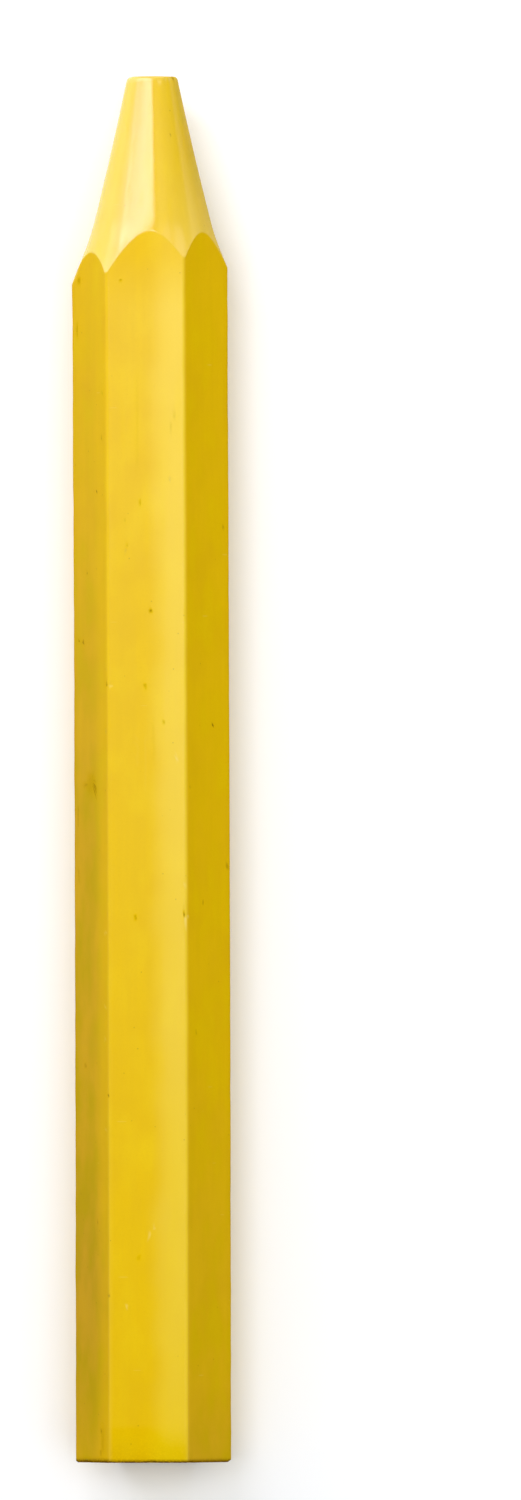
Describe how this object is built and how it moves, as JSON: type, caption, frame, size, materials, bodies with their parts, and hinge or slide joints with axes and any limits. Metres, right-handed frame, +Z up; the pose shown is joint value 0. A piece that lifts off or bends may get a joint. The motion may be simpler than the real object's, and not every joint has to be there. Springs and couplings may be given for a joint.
{
  "type": "marking chalk stick",
  "caption": "Hexagonal stick of wax-bound marking chalk with flat sides, a round tapered nose cut off to a blunt flat tip, arched shoulders and a square-cut butt end.",
  "frame": {"origin": "on the surface that the stick lies on, under the middle of its length and width", "axes": "+Y along the stick from the butt end to the tip, +Z up, square to the flat that the stick lies on"},
  "size_m": [0.0136, 0.12, 0.0118],
  "materials": {
    "chalk": "satin wax-bound chalk, yellow, with small pits, specks and rub marks"
  },
  "bodies": {
    "root": {"chalk_stick": "chalk"}
  },
  "joints": []
}
